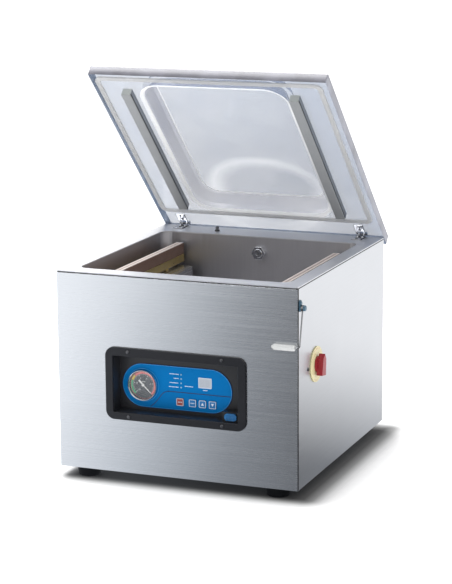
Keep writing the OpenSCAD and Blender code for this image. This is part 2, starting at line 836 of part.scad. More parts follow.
front_panel();
left_side_panel();
right_side_panel();
rear_panel();
base_pan();
deck_plate();
vacuum_chamber();
feet();
foot_bolts();
panel_bezel();
bezel_screws();
panel_tray();
control_overlay();
display_window();
status_leds();
control_board();
gauge_case();
gauge_dial();
gauge_pointer();
gauge_lens();
stop_key();
set_key();
up_key();
down_key();
tray_latch();
switch_plate();
switch_knob();
switch_screws();
switch_body();
lid_shell();
lid_gasket();
counter_bars();
counter_pads();
hinge_bases();
hinge_leaves();
hinge_pins();
hinge_springs();
stop_bumpers();
lid_plunger();
plunger_bush();
lid_microswitch();
latch_bail();
bail_sleeve();
bail_pivot();
port_fitting();
left_seal_bar();
left_heater_strip();
left_bar_carrier();
right_seal_bar();
right_heater_strip();
right_bar_carrier();
bladder_housings();
pump_body();
pump_motor();
exhaust_filter();
transformer();
solenoid_valve();
vacuum_hose();
mains_gland();
panel_screws();
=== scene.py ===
"""Looks of a tabletop chamber vacuum packer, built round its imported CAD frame."""
import json
import math
import random

import bmesh
import bpy
from mathutils import Matrix, Vector


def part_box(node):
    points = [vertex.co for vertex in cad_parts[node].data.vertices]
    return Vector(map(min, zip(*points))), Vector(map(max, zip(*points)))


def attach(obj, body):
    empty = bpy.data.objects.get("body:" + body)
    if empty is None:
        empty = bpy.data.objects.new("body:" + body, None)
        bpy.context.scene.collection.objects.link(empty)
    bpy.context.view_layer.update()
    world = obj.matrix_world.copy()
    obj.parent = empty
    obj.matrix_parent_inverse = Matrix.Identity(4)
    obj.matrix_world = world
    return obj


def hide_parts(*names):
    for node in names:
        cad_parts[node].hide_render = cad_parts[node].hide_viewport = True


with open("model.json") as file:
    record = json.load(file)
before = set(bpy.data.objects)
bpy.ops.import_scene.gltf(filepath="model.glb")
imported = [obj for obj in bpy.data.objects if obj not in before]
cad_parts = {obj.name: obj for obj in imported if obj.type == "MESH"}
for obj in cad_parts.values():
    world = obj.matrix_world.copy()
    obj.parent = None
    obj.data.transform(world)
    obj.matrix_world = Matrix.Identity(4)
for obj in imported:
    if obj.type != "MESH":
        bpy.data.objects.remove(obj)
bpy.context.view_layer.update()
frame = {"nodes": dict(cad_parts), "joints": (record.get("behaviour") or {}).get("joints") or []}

MM = 0.001
random.seed(7)

# ---------------------------------------------------------------------------
# Places, all in millimetres in the row frame, worked out from the CAD nodes
# ---------------------------------------------------------------------------


def box_mm(node):
    """Lowest and highest corner of a CAD node, in millimetres."""
    lo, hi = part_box(node)
    return lo / MM, hi / MM


def centre_mm(node):
    lo, hi = box_mm(node)
    return (lo + hi) / 2


def joint(name):
    return next(j for j in frame["joints"] if j["name"] == name)


DECK_HI = box_mm("deck_plate")[1]
DECK_Z = DECK_HI.z
HALF_W = DECK_HI.x
FRONT_Y = box_mm("front_panel")[0].y
HINGE = Vector(joint("lid_hinge")["pos_m"]) / MM
LID_ANGLE = math.radians(joint("lid_hinge")["range_deg"][1])
LID_GAP = 4.0               # closed lid's underside above the deck
AXIS_S = 522.5              # hinge axis from the lid's front edge
AXIS_N = HINGE.z - DECK_Z - LID_GAP
LID_LEN = 555.0
LID_T = 20.0
HINGE_X = 202.0             # each hinge from the centre line
COUNTER_X = 177.0           # each counter bar from the centre line
COUNTER_S0, COUNTER_S1 = 44.0, 446.0
# Lid coordinates (x, s from the front edge, n away from the underside) to the row frame.
LID_PLACE = (
    Matrix.Translation(HINGE)
    @ Matrix.Rotation(-LID_ANGLE, 4, "X")
    @ Matrix.Translation((0, -AXIS_S, -AXIS_N))
)
# Front coordinates (x, z up, depth forward of the cabinet's face) to the row frame.
FRONT_PLACE = Matrix(((1, 0, 0, 0), (0, 0, -1, FRONT_Y), (0, 1, 0, 0), (0, 0, 0, 1)))

# ---------------------------------------------------------------------------
# Mesh building
# ---------------------------------------------------------------------------


class Shape:
    """Vertices and faces of a mesh being built, in millimetres."""

    def __init__(self):
        self.verts = []
        self.faces = []

    def add(self, verts, faces):
        base = len(self.verts)
        self.verts += [tuple(v) for v in verts]
        self.faces += [tuple(base + i for i in f) for f in faces]
        return self

    def loft(self, rings, closed=False, cap_start=False, cap_end=False):
        """Skins a list of rings that have the same number of points."""
        count = len(rings[0])
        faces = []
        spans = len(rings) if closed else len(rings) - 1
        for k in range(spans):
            a, b = k * count, ((k + 1) % len(rings)) * count
            for i in range(count):
                j = (i + 1) % count
                faces.append((a + i, a + j, b + j, b + i))
        if cap_start:
            faces.append(tuple(reversed(range(count))))
        if cap_end:
            last = (len(rings) - 1) * count
            faces.append(tuple(last + i for i in range(count)))
        return self.add([p for ring in rings for p in ring], faces)

    def lathe(self, profile, segments=48, place=None):
        """Turns (radius, height) points about the Z axis; ends on the axis are capped."""
        rings = []
        for r, h in profile:
            r = max(r, 0.001)
            ring = [(r * math.cos(t), r * math.sin(t), h) for t in turns(segments)]
            rings.append([place @ Vector(p) for p in ring] if place else ring)
        return self.loft(rings, cap_start=True, cap_end=True)

    def tube(self, path, radius, segments=12, closed=False):
        """A round tube along a list of points."""
        rings = []
        normal = None
        for k, p in enumerate(path):
            p = Vector(p)
            ahead = Vector(path[(k + 1) % len(path)] if closed else path[min(k + 1, len(path) - 1)])
            back = Vector(path[k - 1] if closed or k else path[0])
            along = (ahead - back).normalized()
            if normal is None:
                normal = along.orthogonal().normalized()
            normal = (normal - along * normal.dot(along)).normalized()
            side = along.cross(normal)
            rings.append([p + (normal * math.cos(t) + side * math.sin(t)) * radius
                          for t in turns(segments)])
        return self.loft(rings, closed=closed, cap_start=not closed, cap_end=not closed)

    def prism(self, outline, z0, z1, place=None):
        """Extrudes a 2D outline from z0 to z1."""
        rings = [[(x, y, z) for x, y in outline] for z in (z0, z1)]
        if place:
            rings = [[place @ Vector(p) for p in ring] for ring in rings]
        return self.loft(rings, cap_start=True, cap_end=True)

    def block(self, lo, hi, place=None):
        outline = [(lo[0], lo[1]), (hi[0], lo[1]), (hi[0], hi[1]), (lo[0], hi[1])]
        return self.prism(outline, lo[2], hi[2], place)

    def frame_ring(self, rings):
        """A ring-shaped solid skinned through closed outlines, such as a bezel or a seal."""
        return self.loft(rings, closed=True)


def turns(count, start=0.0):
    return [start + 2 * math.pi * k / count for k in range(count)]


def rrect(w, h, r, steps=8, cx=0.0, cy=0.0):
    """Outline of a rectangle with round corners, anticlockwise."""
    r = max(min(r, w / 2 - 0.01, h / 2 - 0.01), 0.01)
    points = []
    for quarter, (sx, sy) in enumerate(((1, 1), (-1, 1), (-1, -1), (1, -1))):
        for k in range(steps + 1):
            t = (quarter + k / steps) * math.pi / 2
            points.append((cx + sx * (w / 2 - r) + r * math.cos(t),
                           cy + sy * (h / 2 - r) + r * math.sin(t)))
    return points


def raised(outline, z):
    return [(x, y, z) for x, y in outline]


def arc(cx, cy, r, a0, a1, steps):
    return [(cx + r * math.cos(a0 + (a1 - a0) * k / steps),
             cy + r * math.sin(a0 + (a1 - a0) * k / steps)) for k in range(steps + 1)]


def shade(mesh, angle=35):
    mesh.shade_smooth()
    mesh.set_sharp_from_angle(angle=math.radians(angle))


def solid(name, shape, place=None):
    """An object made from a Shape; by itself it isn't a piece, and can serve as a cutter."""
    mesh = bpy.data.meshes.new(name)
    mesh.from_pydata([Vector(v) for v in shape.verts], [], shape.faces)
    bm = bmesh.new()
    bm.from_mesh(mesh)
    bmesh.ops.remove_doubles(bm, verts=bm.verts, dist=0.0005)
    bmesh.ops.recalc_face_normals(bm, faces=bm.faces)
    bm.to_mesh(mesh)
    bm.free()
    mesh.transform(Matrix.Scale(MM, 4) @ (place or Matrix()))
    obj = bpy.data.objects.new(name, mesh)
    bpy.context.scene.collection.objects.link(obj)
    return obj


def make(name, shape, body, material, place=None, bevel=0.0, replaces=(), angle=35):
    """Turns a Shape into a piece that rides on a body."""
    obj = solid(name, shape, place)
    obj.data.materials.append(material)
    shade(obj.data, angle)
    if bevel:
        add_bevel(obj, bevel)
    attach(obj, body)
    if replaces:
        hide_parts(*replaces)
    return obj


def add_bevel(obj, width):
    mod = obj.modifiers.new("edge", "BEVEL")
    mod.width = width * MM
    mod.segments = 3
    mod.limit_method = "ANGLE"
    mod.angle_limit = math.radians(30)
    mod.harden_normals = True


def dress(node, material, bevel=0.0):
    """Gives a CAD node its material and softens its edges."""
    obj = frame["nodes"][node]
    if not obj.material_slots:
        obj.data.materials.append(material)
    for slot in obj.material_slots:
        slot.material = material
    if bevel:
        weld = obj.modifiers.new("weld", "WELD")
        weld.merge_threshold = 0.00001
        add_bevel(obj, bevel)
    return obj


# ---------------------------------------------------------------------------
# Materials
# ---------------------------------------------------------------------------


class Paint:
    """A node material built in a few lines."""

    def __init__(self, name, **sockets):
        self.mat = bpy.data.materials.new(name)
        self.mat.use_nodes = True
        self.tree = self.mat.node_tree
        self.tree.nodes.clear()
        self.out = self.node("ShaderNodeOutputMaterial")
        self.bsdf = self.node("ShaderNodeBsdfPrincipled")
        self.link(self.bsdf.outputs[0], self.out.inputs["Surface"])
        for key, value in sockets.items():
            self.bsdf.inputs[key.replace("_", " ")].default_value = value
        self.coords = self.node("ShaderNodeTexCoord").outputs["Object"]

    def node(self, kind, **settings):
        made = self.tree.nodes.new(kind)
        for key, value in settings.items():
            setattr(made, key, value)
        return made

    def link(self, a, b):
        self.tree.links.new(a, b)

    def stretched(self, scale):
        mapping = self.node("ShaderNodeMapping")
        mapping.inputs["Scale"].default_value = scale
        self.link(self.coords, mapping.inputs["Vector"])
        return mapping.outputs[0]

    def noise(self, scale, detail=3.0, rough=0.55, stretch=None):
        tex = self.node("ShaderNodeTexNoise")
        tex.inputs["Scale"].default_value = scale
        tex.inputs["Detail"].default_value = detail
        tex.inputs["Roughness"].default_value = rough
        self.link(self.stretched(stretch) if stretch else self.coords, tex.inputs["Vector"])
        return tex.outputs["Fac"]

    def ramp(self, fac, stops):
        ramp = self.node("ShaderNodeValToRGB")
        elements = ramp.color_ramp.elements
        while len(elements) < len(stops):
            elements.new(0.5)
        for element, (place, colour) in zip(elements, stops):
            element.position = place
            element.color = (*colour, 1) if len(colour) == 3 else colour
        self.link(fac, ramp.inputs[0])
        return ramp.outputs[0]

    def vary(self, fac, low, high, lo_in=0.3, hi_in=0.7):
        mapped = self.node("ShaderNodeMapRange")
        mapped.inputs["From Min"].default_value = lo_in
        mapped.inputs["From Max"].default_value = hi_in
        mapped.inputs["To Min"].default_value = low
        mapped.inputs["To Max"].default_value = high
        self.link(fac, mapped.inputs["Value"])
        return mapped.outputs[0]

    def colour(self, socket):
        self.link(socket, self.bsdf.inputs["Base Color"])
        return self

    def rough(self, socket):
        self.link(socket, self.bsdf.inputs["Roughness"])
        return self

    def bump(self, height, strength, distance=0.0002):
        bump = self.node("ShaderNodeBump")
        bump.inputs["Strength"].default_value = strength
        bump.inputs["Distance"].default_value = distance
        self.link(height, bump.inputs["Height"])
        self.link(bump.outputs[0], self.bsdf.inputs["Normal"])
        return self


def scaled(colour, k):
    return tuple(min(1.0, c * k) for c in colour)


def brushed(name, colour, grain, contrast=0.06, rough=(0.26, 0.4), bump=0.12):
    """Brushed stainless steel; grain is the texture stretch, small along the brushing."""
    p = Paint(name, Metallic=1.0, IOR=2.5)
    fine = p.noise(1.0, 4.0, 0.65, grain)
    broad = p.noise(5.0, 2.0)
    tone = p.node("ShaderNodeMath", operation="MULTIPLY_ADD")
    p.link(fine, tone.inputs[0])
    tone.inputs[1].default_value = 0.75
    quarter = p.node("ShaderNodeMath", operation="MULTIPLY")
    p.link(broad, quarter.inputs[0])
    quarter.inputs[1].default_value = 0.25
    p.link(quarter.outputs[0], tone.inputs[2])
    p.colour(p.ramp(tone.outputs[0], [(0.3, scaled(colour, 1 - contrast)),
                                      (0.7, scaled(colour, 1 + contrast))]))
    p.rough(p.vary(fine, *rough))
    p.bump(fine, bump, 0.0001)
    return p.mat


def plastic(name, colour, rough=0.4, grain=1400.0, bump=0.15, spread=0.08, **sockets):
    """Moulded plastic: fine skin, slight mottling of tone and gloss."""
    p = Paint(name, **sockets)
    skin = p.noise(grain, 3.0)
    cloud = p.noise(18.0, 4.0)
    p.colour(p.ramp(cloud, [(0.3, scaled(colour, 1 - spread)), (0.7, scaled(colour, 1 + spread))]))
    p.rough(p.vary(cloud, rough * 0.88, rough * 1.12))
    p.bump(skin, bump, 0.0001)
    return p.mat


def metal(name, colour, rough=0.2, spread=0.1, scratch=60.0):
    """Plain bright or dark metal with faint smudges and handling marks."""
    p = Paint(name, Metallic=1.0)
    smudge = p.noise(scratch, 5.0, 0.6)
    p.colour(p.ramp(smudge, [(0.3, scaled(colour, 1 - spread)), (0.7, scaled(colour, 1 + spread))]))
    p.rough(p.vary(smudge, rough * 0.7, rough * 1.4))
    p.bump(p.noise(900.0, 3.0), 0.05, 0.0001)
    return p.mat


def summed(p, a, b):
    """A socket with the sum of two others."""
    total = p.node("ShaderNodeMath", operation="ADD")
    p.link(a, total.inputs[0])
    p.link(b, total.inputs[1])
    return total.outputs[0]


def shaded_density(p, density, amount):
    """Painted shade: density that grows by the given amount towards the lid's hinges and its right side.
    """
    split = p.node("ShaderNodeSeparateXYZ")
    p.link(p.coords, split.inputs[0])
    for axis, share, start, end in (("Z", 0.7, 0.78, 0.43), ("X", 0.5, -0.1, 0.25)):
        density = summed(p, density, p.vary(split.outputs[axis], 0.0, amount * share, start, end))
    return density


def disc_distance(p, to_disc):
    """Distance from the middle of the unit disc that a matrix takes the object's coordinates to."""
    where = p.node("ShaderNodeCombineXYZ")
    for row in range(2):
        lean = p.node("ShaderNodeVectorMath", operation="DOT_PRODUCT")
        p.link(p.coords, lean.inputs[0])
        lean.inputs[1].default_value = to_disc[row][:3]
        shift = p.node("ShaderNodeMath", operation="ADD")
        p.link(lean.outputs["Value"], shift.inputs[0])
        shift.inputs[1].default_value = to_disc[row][3]
        p.link(shift.outputs[0], where.inputs[row])
    away = p.node("ShaderNodeVectorMath", operation="LENGTH")
    p.link(where.outputs[0], away.inputs[0])
    return away.outputs["Value"]


def highlight_change(p, to_disc):
    """Painted highlight: change of density that gives the disc a soft pale outline, standing in for a
    reflection in the dome; none outside it.
    """
    reach = 0.34                # density from the ramp's black to its white
    glow = p.ramp(disc_distance(p, to_disc), [(0.0, (0.55,) * 3), (0.6, (0.58,) * 3),
                                              (0.85, (0.2,) * 3), (0.92, (0.34,) * 3),
                                              (1.0, (0.5,) * 3)])
    change = p.node("ShaderNodeMath", operation="MULTIPLY_ADD")
    p.link(glow, change.inputs[0])
    change.inputs[1].default_value = reach
    change.inputs[2].default_value = -reach / 2
    return change.outputs[0]


def clear_sheet(name, colour, alpha, rough=0.06, shade_added=0.0, highlight_at=None):
    """Clear sheet with slight haze. It can carry painted shade, denser towards the lid's hinges and right
    side, and a painted highlight, a soft pale arc on the dome; the lid's painted rim highlights and the
    painted shade of its dome walls are denser regions of the same plastic.
    """
    p = Paint(name, IOR=1.45, Specular_IOR_Level=0.3)
    haze = p.noise(7.0, 3.0)
    p.colour(p.ramp(haze, [(0.3, scaled(colour, 0.93)), (0.7, scaled(colour, 1.04))]))
    p.rough(p.vary(haze, rough * 0.7, rough * 1.5))
    density = p.vary(haze, alpha * 0.92, alpha * 1.08)
    if shade_added:
        density = shaded_density(p, density, shade_added)
    if highlight_at:
        density = summed(p, highlight_change(p, highlight_at), density)
    p.link(density, p.bsdf.inputs["Alpha"])
    return p.mat


def bands(name, colours, axis, pitch, rough=0.5, bump=0.2, angle=0.0):
    """Material with even bands across one axis, such as a laminate or a ribbed face."""
    p = Paint(name)
    mapping = p.node("ShaderNodeMapping")
    mapping.inputs["Rotation"].default_value = (0, 0, angle)
    p.link(p.coords, mapping.inputs["Vector"])
    wave = p.node("ShaderNodeTexWave", wave_type="BANDS", bands_direction=axis)
    wave.inputs["Scale"].default_value = 2 * math.pi / (pitch * MM) / 20
    wave.inputs["Distortion"].default_value = 0.6
    wave.inputs["Detail"].default_value = 2.0
    p.link(mapping.outputs[0], wave.inputs["Vector"])
    p.colour(p.ramp(wave.outputs["Fac"], [(0.2, colours[0]), (0.8, colours[1])]))
    p.rough(p.vary(p.noise(40.0), rough * 0.85, rough * 1.15))
    p.bump(wave.outputs["Fac"], bump, 0.0003)
    return p.mat


# Takes metres in the row frame to a unit disc that lies on the lid near the dome's hinge end; the painted
# highlight arc is drawn round it.
DOME_HIGHLIGHT = (
    Matrix.Diagonal((1 / 146, 1 / 112, 1, 1)) @ Matrix.Translation((-6, -436, 0))
    @ LID_PLACE.inverted() @ Matrix.Scale(1 / MM, 4)
)
# Stretch of the brushing's texture, small along the brushing.
ALONG_X = (6.0, 900.0, 900.0)
ALONG_Y = (900.0, 6.0, 900.0)

STEEL = (0.72, 0.735, 0.76)
MATS = {
    "front": brushed("front_steel", STEEL, (4.0, 760.0, 760.0), 0.07, (0.2, 0.3), 0.12),
    "side": brushed("side_steel", (0.68, 0.69, 0.71), (700.0, 5.0, 700.0), 0.07, (0.3, 0.44)),
    "deck": brushed("deck_steel", (0.74, 0.745, 0.77), ALONG_X, 0.05, (0.3, 0.42)),
    "chamber": brushed("chamber_steel", (0.47, 0.465, 0.485), (250.0, 250.0, 8.0), 0.06, (0.34, 0.5)),
    "housing": brushed("housing_steel", (0.6, 0.6, 0.62), ALONG_Y, 0.06, (0.22, 0.34)),
    "chrome": metal("chrome", (0.78, 0.79, 0.82), 0.1),
    "chrome_dark": metal("chrome_dark", (0.13, 0.135, 0.15), 0.2),
    "bright": metal("bright_steel", (0.6, 0.61, 0.63), 0.18),
    "dark_screw": metal("dark_screw", (0.16, 0.16, 0.17), 0.3),
    "wire": metal("wire_steel", (0.36, 0.365, 0.38), 0.22),
    "gold": metal("gold_anodised", (0.62, 0.48, 0.2), 0.38),
    "spring": metal("spring_steel", (0.2, 0.2, 0.22), 0.25),
    # Black for painted shade in seams, gaps, screw slots and holes
    "shadow": plastic("painted_shade_black", (0.008, 0.008, 0.01), 0.7, 900.0, 0.1, Specular_IOR_Level=0.1),
    "brass": metal("brass", (0.55, 0.4, 0.15), 0.25),
    # Clear acrylic with painted shade towards the hinges and right side, and the painted highlight arc on
    # the dome
    "acrylic": clear_sheet("clear_acrylic", (0.165, 0.23, 0.355), 0.31, shade_added=0.2, highlight_at=DOME_HIGHLIGHT),
    # Painted highlight on the dome's rim and on a thin glint band inside it
    "acrylic_rim": clear_sheet("clear_painted_highlight", (0.95, 0.96, 1.0), 0.75, 0.04),
    # Painted shade on the dome's walls: denser and darker than the sheet
    "acrylic_wall": clear_sheet("clear_wall_shade", (0.17, 0.195, 0.29), 0.5, 0.05),
    "edge": plastic("satin_edge", (0.15, 0.15, 0.175), 0.42, 900.0, 0.1, 0.35),
    # Lighter copy of the edge plastic for the lid's sides: painted light
    "edge_side": plastic("satin_edge_side", (0.3, 0.305, 0.35), 0.42, 900.0, 0.1, 0.25),
    # Painted highlight on the lid's edge where it is seen through the sheet
    "edge_highlight": plastic("edge_painted_highlight", (0.8, 0.82, 0.86), 0.5, 900.0, 0.1, 0.2),
    "gauge_glass": clear_sheet("gauge_glass", (0.5, 0.55, 0.6), 0.08, 0.03),
    "silicone": plastic("silicone", (0.5, 0.5, 0.5), 0.45, 600.0, 0.1, 0.04, Alpha=0.6),
    "pad": bands("pad_silicone", ((0.19, 0.2, 0.21), (0.32, 0.33, 0.34)), "X", 2.4, 0.6, 0.3, 0.7),
    "channel": brushed("channel_aluminium", (0.42, 0.435, 0.45), ALONG_Y, 0.1, (0.4, 0.55)),
    "cap": plastic("cap_grey", (0.3, 0.32, 0.31), 0.5, 900.0, 0.1),
    "bezel": plastic("bezel_plastic", (0.012, 0.013, 0.017), 0.38, 1500.0, 0.25, Specular_IOR_Level=0.3),
    "tray": plastic("tray_plastic", (0.018, 0.019, 0.023), 0.4, 1500.0, 0.25),
    "rim": metal("gauge_rim_steel", (0.75, 0.76, 0.79), 0.16),
    "rubber": plastic("rubber", (0.006, 0.007, 0.009), 0.65, 700.0, 0.35, Specular_IOR_Level=0.12),
    "overlay": plastic("membrane_blue", (0.0, 0.14, 0.4), 0.5, 2200.0, 0.2, 0.05, Specular_IOR_Level=0.05),
    "overlay_dark": plastic("membrane_line", (0.0, 0.03, 0.12), 0.4, 2200.0, 0.1),
    "overlay_light": plastic("membrane_print_and_highlight", (0.02, 0.27, 0.66), 0.38, 2200.0, 0.1),
    "print": plastic("white_print", (0.62, 0.7, 0.78), 0.5, 2000.0, 0.05),
    "display": plastic("display_grey", (0.42, 0.46, 0.52), 0.18, 900.0, 0.03),
    "digit": plastic("digit_grey", (0.36, 0.4, 0.46), 0.3, 900.0, 0.03),
    "stop": plastic("stop_red", (0.3, 0.04, 0.035), 0.35, 1800.0, 0.12),
    "key": plastic("key_blue", (0.0, 0.15, 0.42), 0.35, 1800.0, 0.12),
    "latch": plastic("latch_blue", (0.005, 0.12, 0.32), 0.35, 900.0, 0.15),
    "led": plastic("led_lens", (0.22, 0.42, 0.55), 0.15, 700.0, 0.03),
    "dial": plastic("dial_black", (0.06, 0.063, 0.07), 0.5, 1200.0, 0.05),
    "dial_red": plastic("dial_red", (0.8, 0.2, 0.2), 0.5, 1200.0, 0.03),
    "dial_yellow": plastic("dial_yellow", (0.75, 0.55, 0.06), 0.5, 1200.0, 0.03),
    "dial_green": plastic("dial_green", (0.08, 0.42, 0.2), 0.5, 1200.0, 0.03),
    "dial_white": plastic("dial_white", (0.8, 0.8, 0.78), 0.5, 1200.0, 0.03),
    "gauge_case": plastic("gauge_case", (0.02, 0.02, 0.024), 0.25, 1200.0, 0.05),
    "plate": plastic("switch_plate", (0.72, 0.65, 0.38), 0.38, 1200.0, 0.12),
    "mark_red": plastic("plate_print", (0.5, 0.12, 0.08), 0.4, 1200.0, 0.05),
    "knob": plastic("knob_red", (0.3, 0.012, 0.022), 0.3, 1200.0, 0.08),
    "sleeve": plastic("sleeve_white", (0.56, 0.57, 0.57), 0.35, 900.0, 0.1, 0.03),
    "pivot": plastic("pivot_blue", (0.06, 0.13, 0.19), 0.3, 900.0, 0.08),
    "bakelite": bands("bakelite", ((0.15, 0.085, 0.06), (0.2, 0.12, 0.09)), "Z", 3.0, 0.5, 0.1),
    "tape": bands("ptfe_tape", ((0.5, 0.43, 0.39), (0.6, 0.53, 0.49)), "Y", 1.6, 0.45, 0.1),
    "band": metal("heating_band", (0.35, 0.26, 0.22), 0.35),
    "board": plastic("circuit_board", (0.02, 0.12, 0.05), 0.35, 1200.0, 0.05),
    "black": plastic("black_plastic", (0.02, 0.02, 0.022), 0.4, 1200.0, 0.15),
    "cast": plastic("cast_paint", (0.1, 0.11, 0.13), 0.5, 500.0, 0.5),
    "motor": plastic("motor_paint", (0.05, 0.07, 0.12), 0.4, 500.0, 0.3),
    "core": brushed("core_steel", (0.3, 0.2, 0.12), ALONG_X, 0.15),
    "galvanised": metal("galvanised", (0.5, 0.51, 0.53), 0.4, 0.2, 90.0),
}

# ---------------------------------------------------------------------------
# CAD nodes that stay as they are
# ---------------------------------------------------------------------------

DRESS = {
    "front_panel": ("front", 0.7), "left_side_panel": ("side", 0.6),
    "right_side_panel": ("side", 0.0), "rear_panel": ("side", 0.4), "base_pan": ("galvanised", 0.0),
    "deck_plate": ("deck", 0.7), "vacuum_chamber": ("chamber", 0.8), "feet": ("rubber", 0.7),
    "foot_bolts": ("bright", 0.3), "panel_tray": ("tray", 0.0), "control_overlay": ("overlay", 0.0),
    "control_board": ("board", 0.0), "switch_body": ("black", 0.4), "lid_microswitch": ("black", 0.3),
    "latch_bail": ("wire", 0.0), "bail_sleeve": ("sleeve", 0.3), "bail_pivot": ("pivot", 0.3),
    "port_fitting": ("chrome", 0.5), "left_seal_bar": ("bakelite", 0.4),
    "right_seal_bar": ("bakelite", 0.4), "left_bar_carrier": ("gold", 0.5),
    "right_bar_carrier": ("gold", 0.5), "bladder_housings": ("housing", 3.0),
    "pump_body": ("cast", 2.0), "pump_motor": ("motor", 0.8), "exhaust_filter": ("cast", 1.5),
    "transformer": ("core", 0.6), "solenoid_valve": ("brass", 0.6), "vacuum_hose": ("rubber", 0.0),
    "mains_gland": ("black", 0.4), "panel_screws": ("bright", 0.15), "switch_screws": ("dark_screw", 0.15),
    "bezel_screws": ("dark_screw", 0.15), "lid_plunger": ("chrome_dark", 0.2),
    "plunger_bush": ("black", 0.2), "stop_bumpers": ("rubber", 0.3),
    "counter_bars": ("channel", 0.5), "counter_pads": ("pad", 0.5), "status_leds": ("led", 0.3),
    "gauge_lens": ("gauge_glass", 0.0), "gauge_dial": ("dial", 0.0),
    "gauge_case": ("gauge_case", 0.4), "gauge_pointer": ("dial_white", 0.1),
    "display_window": ("display", 0.2), "stop_key": ("stop", 0.3), "set_key": ("key", 0.3),
    "up_key": ("key", 0.3), "down_key": ("key", 0.3), "tray_latch": ("latch", 0.4),
    "switch_plate": ("plate", 0.5), "switch_knob": ("knob", 1.2), "lid_gasket": ("silicone", 1.0),
    "hinge_bases": ("chrome", 0.3), "hinge_leaves": ("chrome", 0.3), "hinge_pins": ("chrome_dark", 0.3),
    "hinge_springs": ("spring", 0.1), "left_heater_strip": ("tape", 0.3),
    "right_heater_strip": ("tape", 0.3), "panel_bezel": ("bezel", 1.2),
}
for node_name, (material_name, edge) in DRESS.items():
    dress(node_name, MATS[material_name], edge)

# ---------------------------------------------------------------------------
# Lid
# ---------------------------------------------------------------------------

DOME_W, DOME_S0, DOME_S1, DOME_R = 300.0, 38.0, 459.0, 40.0
# (inset from the dome's outline, height above the lid's underside)
INNER_DOME = [(-9, 0), (-6, 0.3), (-3, 1.4), (-0.6, 3.8), (0.8, 8), (1.8, 15), (3.2, 23), (6.5, 30.5),
              (12.5, 36.5), (14.6, 37.8), (22, 40.8), (36, 43.6), (58, 45.2), (90, 46), (135, 46.3)]
OUTER_DOME = [(-17, 20), (-13, 20.3), (-9.6, 21.6), (-7.2, 24.4), (-5.6, 28.5), (-3.6, 34), (1, 40.2),
              (9, 44.6), (21, 47.6), (36, 49.4), (58, 50.4), (90, 50.8), (135, 51)]


def dome_ring(inset, n):
    mid = (DOME_S0 + DOME_S1) / 2
    w, length = DOME_W - 2 * inset, DOME_S1 - DOME_S0 - 2 * inset
    r = max(DOME_R - inset * 0.3, 6) if inset > 0 else DOME_R - inset
    return raised(rrect(w, length, r, 12, 0, mid), n)


def slab_ring(inset, n):
    outline = rrect(2 * HALF_W - 2 * inset, LID_LEN - 2 * inset, 2.5, 12, 0, LID_LEN / 2)
    return raised(outline, n)


def cut(obj, cutters):
    """Bores the cutters out of a piece and removes them."""
    for cutter in cutters:
        mod = obj.modifiers.new("cut", "BOOLEAN")
        mod.object = cutter
        mod.operation = "DIFFERENCE"
        mod.solver = "EXACT"
    bpy.context.view_layer.update()
    done = bpy.data.meshes.new_from_object(obj.evaluated_get(bpy.context.evaluated_depsgraph_get()))
    obj.modifiers.clear()
    obj.data = done
    for cutter in cutters:
        bpy.data.objects.remove(cutter)


BAND = 0.8                  # thickness of the satin edge round the slab
GROOVE_R, GROOVE_LEN = 4.6, 24.0    # room in the slab for each hinge's knuckles
# (from height, to height, material index) on the dome's two faces: painted rim highlight 1, wall with
# painted shade 2; the band from 36.5 to 37.8 inside is a painted glint
INSIDE_REGIONS = [(0.05, 5, 1), (5, 36.5, 2), (36.5, 37.8, 1)]
OUTSIDE_REGIONS = [(21, 42, 2)]


def lid_shell():
    shape = Shape()
    rings = [dome_ring(*p) for p in reversed(INNER_DOME)]
    rings += [slab_ring(BAND, 0), slab_ring(BAND, LID_T)]
    rings += [dome_ring(*p) for p in OUTER_DOME]
    shape.loft(rings, cap_start=True, cap_end=True)
    shell = make("lid_clear_shell", shape, "lid", MATS["acrylic"], LID_PLACE,
                 replaces=["lid_shell"], angle=50)
    grooves = []
    for x in (-HINGE_X, HINGE_X):
        place = LID_PLACE @ Matrix.Translation((x - GROOVE_LEN / 2, AXIS_S, AXIS_N)) \
            @ Matrix.Rotation(math.pi / 2, 4, "Y")
        groove = Shape().lathe([(GROOVE_R, 0), (GROOVE_R, GROOVE_LEN)], 32)
        grooves.append(solid("groove", groove, place))
    cut(shell, grooves)
    shade(shell.data, 50)
    # The dome's rim and a thin band inside get a painted highlight, and its walls painted shade.
    for region in ("acrylic_rim", "acrylic_wall"):
        shell.data.materials.append(MATS[region])
    to_lid = LID_PLACE.inverted()
    turn = to_lid.to_3x3()
    for face in shell.data.polygons:
        spot = to_lid @ (face.center / MM)
        if not (abs(spot.x) < DOME_W / 2 + 20 and DOME_S0 - 20 < spot.y < DOME_S1 + 20):
            continue
        inside = (turn @ face.normal).z < 0
        for low, high, region in INSIDE_REGIONS if inside else OUTSIDE_REGIONS:
            if low < spot.z < high:
                face.material_index = region


